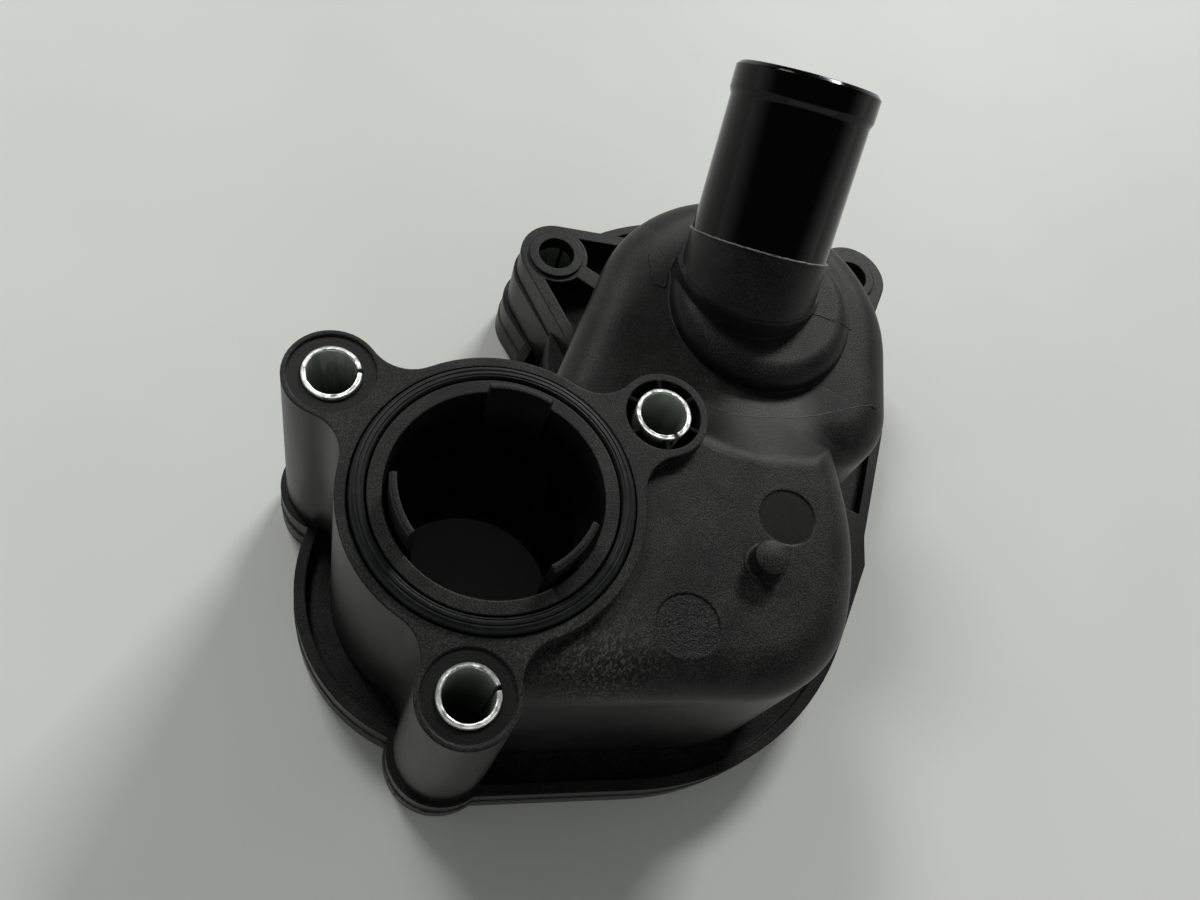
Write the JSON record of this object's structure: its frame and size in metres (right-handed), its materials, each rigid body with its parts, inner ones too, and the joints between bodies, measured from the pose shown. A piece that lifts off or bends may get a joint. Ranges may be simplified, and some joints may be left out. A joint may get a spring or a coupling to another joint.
{
  "type": "coolant water outlet",
  "caption": "Moulded coolant outlet with a thermostat neck, sealed face, oblique hose pipe, bolt bosses and a flat base with a port.",
  "frame": {"origin": "on the axis of the thermostat bore, in the plane of the underside mounting face", "axes": "+Z along the bore, out of the neck; +Y from the neck towards the tower with the hose pipe; +X towards the deck"},
  "size_m": [0.1305, 0.1685, 0.0982],
  "materials": {
    "housing_nylon": "black glass-filled nylon, fine grain, with a polished hose pipe",
    "shell_nylon": "black glass-filled nylon, fine grain",
    "seal_rubber": "smooth black rubber",
    "sleeve_steel": "zinc-plated rolled steel"
  },
  "bodies": {
    "root": {"upper_housing": "housing_nylon", "lower_shell": "shell_nylon", "seal_ring": "seal_rubber", "base_seal": "seal_rubber", "sleeve_left": "sleeve_steel", "sleeve_right": "sleeve_steel", "sleeve_front": "sleeve_steel", "ear_sleeve_left": "sleeve_steel", "ear_sleeve_right": "sleeve_steel"}
  },
  "joints": []
}
